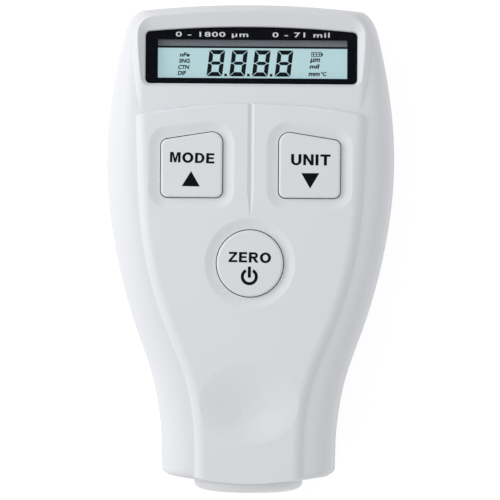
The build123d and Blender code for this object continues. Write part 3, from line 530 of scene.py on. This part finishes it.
def row_tree():
    """Geometry Nodes tree that repeats a shape along X."""
    tree = bpy.data.node_groups.new("row", "GeometryNodeTree")
    for name, kind, way in (
        ("Shape", "NodeSocketGeometry", "INPUT"),
        ("Count", "NodeSocketInt", "INPUT"),
        ("Pitch", "NodeSocketFloat", "INPUT"),
        ("Ink", "NodeSocketMaterial", "INPUT"),
        ("Row", "NodeSocketGeometry", "OUTPUT"),
    ):
        tree.interface.new_socket(name=name, in_out=way, socket_type=kind)
    into, out = tree.nodes.new("NodeGroupInput"), tree.nodes.new("NodeGroupOutput")
    line = tree.nodes.new("GeometryNodeMeshLine")
    step = tree.nodes.new("ShaderNodeCombineXYZ")
    copies = tree.nodes.new("GeometryNodeInstanceOnPoints")
    solid = tree.nodes.new("GeometryNodeRealizeInstances")
    ink = tree.nodes.new("GeometryNodeSetMaterial")
    link = tree.links.new
    link(into.outputs["Pitch"], step.inputs["X"])
    link(step.outputs["Vector"], line.inputs["Offset"])
    link(into.outputs["Count"], line.inputs["Count"])
    link(line.outputs["Mesh"], copies.inputs["Points"])
    link(into.outputs["Shape"], copies.inputs["Instance"])
    link(copies.outputs["Instances"], solid.inputs["Geometry"])
    link(solid.outputs["Geometry"], ink.inputs["Geometry"])
    link(into.outputs["Ink"], ink.inputs["Material"])
    link(ink.outputs["Geometry"], out.inputs["Row"])
    return tree


def repeated(mesh, tree, **inputs):
    """Runs the Geometry Nodes tree on a mesh and returns the result as a plain mesh."""
    holder = bpy.data.objects.new("holder", mesh)
    bpy.context.scene.collection.objects.link(holder)
    modifier = holder.modifiers.new("nodes", "NODES")
    modifier.node_group = tree
    for item in tree.interface.items_tree:
        if item.in_out == "INPUT" and item.name in inputs:
            modifier[item.identifier] = inputs[item.name]
    bpy.context.view_layer.update()
    made = holder.evaluated_get(bpy.context.evaluated_depsgraph_get())
    result = bpy.data.meshes.new_from_object(made)
    holder.modifiers.clear()
    bpy.data.objects.remove(holder)
    return result


segment_black = Finish("segment_black", (0.004, 0.009, 0.012), 0.5, Specular_IOR_Level=0.08)
segment_black.mottle(1.0, 0.1)
row = row_tree()
digit = slab(segment_outlines(), film_high.z, mark_thick)
point_left = digits_left + (digit_pitch + digit_width - point_size) / 2
point_box = (point_left, point_left + point_size, digits_low, digits_low + point_size)
point = slab([oblong(*point_box)], film_high.z, mark_thick)
digit_row = [
    repeated(shape, row, Count=count, Pitch=digit_pitch * mm, Ink=segment_black.material)
    for shape, count in ((digit, digit_count), (point, digit_count - 1))
]
show("digit_segments", merged(digit_row), segment_black, "casing")

# Small marks beside the digits: text, left, right, low and high
unit_marks = [
    ("nFe", -15.30, -13.14, 41.08, 41.97), ("SNG", -15.42, -13.04, 39.76, 40.66),
    ("CTN", -15.60, -13.20, 38.42, 39.32), ("DIF", -15.68, -13.85, 37.16, 38.06),
    ("µm", 12.50, 14.62, 39.86, 40.92), ("mil", 12.36, 14.55, 38.72, 39.68),
    ("mm", 12.17, 14.60, 37.14, 37.86), ("°C", 14.85, 16.05, 37.14, 38.04),
]
marks = [
    lettering(text, box, film_high.z, 0.04, 0.15, 1.0, mark_thick) for text, *box in unit_marks
]
battery_box = (12.75, 14.95, 41.25, 42.25)


def battery_sign(start, end, under, over, bars=3):
    """Battery outline as four strokes, its cap, and the bars that show its charge."""
    rim, cap, cap_inset = 0.14, 0.28, 0.25
    bar_inset, bar_offset, bar_share = 0.28, 0.25, 0.55
    plates = [
        oblong(start, end, under, under + rim),
        oblong(start, end, over - rim, over),
        oblong(start, start + rim, under, over),
        oblong(end - rim, end, under, over),
        oblong(end, end + cap, under + cap_inset, over - cap_inset),
    ]
    step = (end - start - 2 * rim) / bars
    for i in range(bars):
        left = start + rim + step * (i + bar_offset)
        plates.append(oblong(left, left + step * bar_share, under + bar_inset, over - bar_inset))
    return plates


marks.append(slab(battery_sign(*battery_box), film_high.z, mark_thick))
show("unit_marks", merged(marks), segment_black, "casing")

# Dark seal along the film's upper edge, on the bare glass
seal_half = film_high.x - 0.2
seal_low, seal_high = film_high.y + 0.04, film_high.y + 0.44
seal = slab([oblong(-seal_half, seal_half, seal_low, seal_high)], glass_high.z, mark_thick)
show("glass_edge_line", seal, segment_black, "casing")


# Main board: green glass-epoxy board screwed to bosses of the front housing. It carries the
# three tact switches, the processor, an amplifier, a regulator, a crystal and two capacitors.

track_green = (0.030, 0.175, 0.080, 1)
track_pitch, track_share = 0.9, 0.55
board_green = Finish("board_green", (0.014, 0.105, 0.046), Coat_Weight=0.3, Coat_Roughness=0.2)
across, down = (board_green.along(axis).ripple(track_pitch) > track_share for axis in ("X", "Y"))
turned = board_green.noise(6.0, 0.0) > 0.5
tracks = turned * across + (1 - turned) * down
board_green.feed("Base Color", board_green.mixed(tracks, board_green.colour, track_green))
board_green.vary_roughness(0.28, 0.40, 2.0).relief(tracks, 0.03, 0.6)
dress(board_green, "main_board")

zinc_plate = Finish("zinc_plate", (0.62, 0.62, 0.61), Metallic=1.0)
zinc_plate.mottle(0.8, 0.06).vary_roughness(0.30, 0.45, 0.5).grain(0.25, 0.006, 0.5)
dress(zinc_plate, "board_screws", "housing_screws")


def part_tinned(finish, tinned):
    """Makes a plastic finish bright tin where tinned is 1."""
    plastic_roughness, tin_roughness, worn = 0.55, 0.32, 0.88
    darker = (*(c * worn for c in finish.colour[:3]), 1)
    plastic = finish.mixed(finish.noise(0.8), darker, finish.colour)
    finish.feed("Base Color", finish.mixed(tinned, plastic, (0.66, 0.66, 0.65, 1)))
    finish.feed("Metallic", tinned)
    finish.feed("Roughness", plastic_roughness - (plastic_roughness - tin_roughness) * tinned)
    return finish.grain(0.3, 0.01, 0.5)


pin_reach, pin_root = 0.9, 0.02
for chip in ("microcontroller", "signal_amplifier", "regulator"):
    chip_low, chip_high = (corner.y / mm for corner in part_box(chip))
    middle, body_half = (chip_low + chip_high) / 2, (chip_high - chip_low) / 2 - pin_reach
    chip_black = Finish(chip + "_black", (0.020, 0.020, 0.022))
    on_pins = abs(chip_black.along("Y", middle)) > body_half + pin_root
    dress(part_tinned(chip_black, on_pins), chip)

switch_plate = 0.3
for key in ("mode", "unit", "zero"):
    switch_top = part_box(key + "_switch")[1].z / mm
    switch_black = Finish(key + "_switch_shell", (0.022, 0.022, 0.024))
    on_plate = switch_black.along("Z", switch_top - switch_plate) > 0
    dress(part_tinned(switch_black, on_plate), key + "_switch")

button_black = Finish("button_black", (0.045, 0.043, 0.042))
button_black.mottle(1.0, 0.1).vary_roughness(0.45, 0.6, 0.5).grain(0.2, 0.006, 0.5)
dress(button_black, "mode_switch_button", "unit_switch_button", "zero_switch_button")

crystal_steel = Finish("crystal_steel", (0.64, 0.64, 0.65), Metallic=1.0)
crystal_steel.mottle(2.0, 0.05).vary_roughness(0.24, 0.36, 1.0).grain(0.4, 0.006, 0.4, (0.1, 1, 1))
dress(crystal_steel, "crystal")

can_aluminium, can_stripe = (0.70, 0.70, 0.71, 1), (0.55, 0.57, 0.60, 1)
can_lid, can_stripe_half = 0.12, 0.9
for side in ("left", "right"):
    can_low, can_high = (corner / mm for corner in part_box("capacitor_" + side))
    can_x, can_y = (can_low.x + can_high.x) / 2, (can_low.y + can_high.y) / 2
    sleeve = Finish("capacitor_sleeve_" + side, (0.018, 0.030, 0.070))
    on_stripe = (abs(sleeve.along("X", can_x)) < can_stripe_half) * (sleeve.along("Y", can_y) > 0)
    wrapped = sleeve.mixed(on_stripe, sleeve.colour, can_stripe)
    on_lid = sleeve.along("Z", can_high.z - can_lid) > 0
    sleeve.feed("Base Color", sleeve.mixed(on_lid, wrapped, can_aluminium))
    sleeve.feed("Metallic", on_lid)
    sleeve.vary_roughness(0.25, 0.4, 1.0).grain(0.5, 0.008, 0.4)
    dress(sleeve, "capacitor_" + side)


# Probe: a pale collar with a V groove across its domed head, and in it a steel barrel that slides
# on a return spring. The barrel holds a coil on a bobbin, wound round a hard core whose tip
# touches the work.

collar_white = Finish("collar_white", (0.85, 0.86, 0.88), Specular_IOR_Level=0.42)
collar_white.mottle(8, 0.015).vary_roughness(0.36, 0.48, 0.8).grain(0.22, 0.004, 0.35)
dress(collar_white, "probe_collar")

barrel_steel = Finish("barrel_steel", (0.60, 0.60, 0.61), Metallic=1.0)
barrel_steel.mottle(2.0, 0.05).vary_roughness(0.22, 0.34, 0.8)
turning_pitch = 0.16
barrel_x, barrel_z = barrel_steel.along("X"), barrel_steel.along("Z", joint_z)
from_axis = (barrel_x * barrel_x + barrel_z * barrel_z).root()
barrel_steel.relief(from_axis.ripple(turning_pitch), 0.006, 0.8)
dress(barrel_steel, "probe_barrel")

core_steel = Finish("core_steel", (0.70, 0.70, 0.71), Metallic=1.0)
core_steel.mottle(1.5, 0.04).vary_roughness(0.08, 0.16, 0.6)
dress(core_steel, "probe_core")

bobbin_black = Finish("bobbin_black", (0.030, 0.030, 0.031))
bobbin_black.mottle(1.0, 0.1).vary_roughness(0.45, 0.6, 0.8).grain(0.25, 0.006, 0.5)
dress(bobbin_black, "coil_bobbin", "barrel_end_plate")

# Each turn of wire is painted dark in its groove and bright on its crest, in step with its bump:
# painted shade and painted highlight.
copper_groove_shade, copper_crest_highlight = (0.25, 0.08, 0.03, 1), (0.62, 0.26, 0.10, 1)
wire_pitch = 0.18
wire_copper = Finish(
    "wire_copper", (0.56, 0.23, 0.09), Metallic=0.9, Coat_Weight=0.5, Coat_Roughness=0.15
)
turns = wire_copper.along("Y").ripple(wire_pitch)
wire_copper.feed("Base Color", wire_copper.mixed(turns, copper_groove_shade, copper_crest_highlight))
wire_copper.vary_roughness(0.25, 0.4, 0.4).relief(turns, 0.06)
dress(wire_copper, "coil_winding")

retainer_nylon = Finish("retainer_nylon", (0.70, 0.69, 0.65))
retainer_nylon.mottle(2.0, 0.03).vary_roughness(0.4, 0.55, 0.8).grain(0.3, 0.006, 0.4)
dress(retainer_nylon, "probe_retainer", "probe_plug")

spring_wire = Finish("spring_wire", (0.52, 0.52, 0.53), Metallic=1.0)
spring_wire.mottle(0.6, 0.08).vary_roughness(0.24, 0.36, 0.3)

# The spring is the CAD coil, welded into one smooth mesh and shown in its place at its rest length.
plunge, weld_reach = 2.0, 0.001
coil = bmesh.new()
coil.from_mesh(nodes["probe_spring"].data)
bmesh.ops.remove_doubles(coil, verts=coil.verts, dist=weld_reach * mm)
bmesh.ops.recalc_face_normals(coil, faces=coil.faces)
coil_mesh = to_mesh(coil, "coil")
coil_mesh.shade_smooth()
spring = show("return_spring", coil_mesh, spring_wire, "casing")
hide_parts("probe_spring")
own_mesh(spring)

for lead, sheath_name, colour in (
    ("probe_lead", "sheath_grey", (0.20, 0.20, 0.21)),
    ("battery_lead_left", "sheath_black", (0.018, 0.018, 0.019)),
    ("battery_lead_right", "sheath_red", (0.42, 0.022, 0.016)),
):
    sheath = Finish(sheath_name, colour, Specular_IOR_Level=0.4)
    sheath.mottle(1.2, 0.12).vary_roughness(0.38, 0.55, 0.6).grain(0.4, 0.01, 0.4)
    dress(sheath, lead)


# Batteries: four AAA cells side by side on nickel-plated leaf contacts, buttons turned alternately
# to the display and to the probe. Each has a copper-coloured band at its button end.

nickel = Finish("nickel", (0.66, 0.63, 0.58), Metallic=1.0)
nickel.mottle(1.5, 0.05).vary_roughness(0.20, 0.34, 0.8).grain(0.3, 0.006, 0.5, (0.15, 1, 1))
dress(nickel, "contact_end_left", "contact_end_right")
dress(nickel, "contact_bridge_low", "contact_bridge_left", "contact_bridge_right")

band_copper, line_silver, end_steel = (
    (0.52, 0.27, 0.12, 1), (0.75, 0.75, 0.74, 1), (0.66, 0.66, 0.67, 1)
)
band_metallic = 0.85
wrap_start, band_end, line_width, base_rim = 1.25, 12.5, 0.5, 0.45
sign_half, sign_stroke, sign_thick, sign_stands_out = 1.15, 0.42, 0.1, 0.03
plus_in, minus_in = 6.5, 40.0
signs = []


def polarity_stroke(x, y, upright):
    """One stroke of a plus or a minus."""
    half_x, half_y = sign_half, sign_stroke / 2
    if upright:
        half_x, half_y = half_y, half_x
    return oblong(x - half_x, x + half_x, y - half_y, y + half_y)


for number in (1, 2, 3, 4):
    cell = f"cell_{number}"
    cell_low, cell_high = (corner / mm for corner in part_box(cell))
    button_y, way = (cell_high.y, -1) if number % 2 else (cell_low.y, 1)
    cell_x, cell_length = (cell_low.x + cell_high.x) / 2, cell_high.y - cell_low.y

    wrap = Finish(cell + "_wrap", (0.016, 0.040, 0.060), Coat_Weight=0.4, Coat_Roughness=0.1)
    inward = way * wrap.along("Y", button_y)
    bare = (inward < wrap_start) + (inward > cell_length - base_rim)
    on_band = inward < band_end
    on_line = abs(inward - band_end) < line_width / 2
    film = wrap.mixed(on_line, wrap.mixed(on_band, wrap.colour, band_copper), line_silver)
    wrap.feed("Base Color", wrap.mixed(bare, film, end_steel))
    wrap.feed("Metallic", bare + (1 - bare) * on_band * (1 - on_line) * band_metallic)
    wrap.vary_roughness(0.20, 0.32, 2.0)
    dress(wrap, cell)

    plus_y, minus_y = (button_y + way * place for place in (plus_in, minus_in))
    signs += [polarity_stroke(cell_x, plus_y, upright) for upright in (False, True)]
    signs.append(polarity_stroke(cell_x, minus_y, upright=False))
signs_mesh = slab(signs, cell_low.z - sign_stands_out, sign_thick)
show("polarity_signs", signs_mesh, ink_white, "casing")


# Floor, lights and camera: white paper a hair below the gauge, which hides nothing from below and
# lets the room light the gauge's back, one large soft light from the left, an even white room,
# and a camera straight above.

paper_half, paper_drop, paper_glow = 3000.0, 0.05, 0.47
paper = Finish("paper_white", (0.86, 0.86, 0.86), 0.9, Emission_Color=(1, 1, 1, 1))
seen = [
    paper.node("ShaderNodeLightPath", output=f"Is {kind} Ray")
    for kind in ("Camera", "Glossy", "Transmission")
]
paper.feed("Emission Strength", (seen[0] + seen[1] + seen[2]) * paper_glow)
under = paper.node("ShaderNodeNewGeometry", output="Backfacing")
clear = paper.node("ShaderNodeBsdfTransparent")
shade = Wire(paper, paper.shader.outputs[0])
sheet = paper.node("ShaderNodeMixShader", sockets={0: under, 1: shade, 2: clear})
paper.tree.links.new(sheet.socket, paper.tree.nodes["Material Output"].inputs["Surface"])

paper_form = bmesh.new()
flat(paper_form, [oblong(-paper_half, paper_half, -paper_half, paper_half)], -paper_drop)
floor = bpy.data.objects.new("floor", to_mesh(paper_form, "floor"))
floor.data.materials.append(paper.material)
floor.visible_diffuse = floor.visible_shadow = False
bpy.context.scene.collection.objects.link(floor)

light_place, light_aim = Vector((-0.27, 0.08, 0.18)), Vector((0, 0, 0.01))
light = bpy.data.lights.new("key_light", "AREA")
light.shape = "RECTANGLE"
light.size, light.size_y = 0.2, 0.3
light.energy = 0.47
lamp = bpy.data.objects.new("key_light", light)
bpy.context.scene.collection.objects.link(lamp)
lamp.location = light_place
lamp.rotation_euler = (light_aim - light_place).to_track_quat("-Z", "Y").to_euler()

room_light = 0.655
world = bpy.data.worlds.new("studio")
world.use_nodes = True
bpy.context.scene.world = world
world.node_tree.nodes["Background"].inputs["Color"].default_value = (1.0, 1.0, 1.0, 1)
world.node_tree.nodes["Background"].inputs["Strength"].default_value = room_light

camera_height = 0.70
frame_width = 0.1080        # what the picture takes in at the height of the joint line
camera_roll = radians(0.42)
sensor = 36
lens_data = bpy.data.cameras.new("camera")
lens_data.sensor_width = sensor
lens_data.lens = sensor * (camera_height - joint_z * mm) / frame_width
camera = bpy.data.objects.new("camera", lens_data)
bpy.context.scene.collection.objects.link(camera)
camera.location = (0, 0, camera_height)
camera.rotation_euler = (0, 0, camera_roll)
bpy.context.scene.camera = camera
bpy.context.scene.view_settings.view_transform = "Standard"
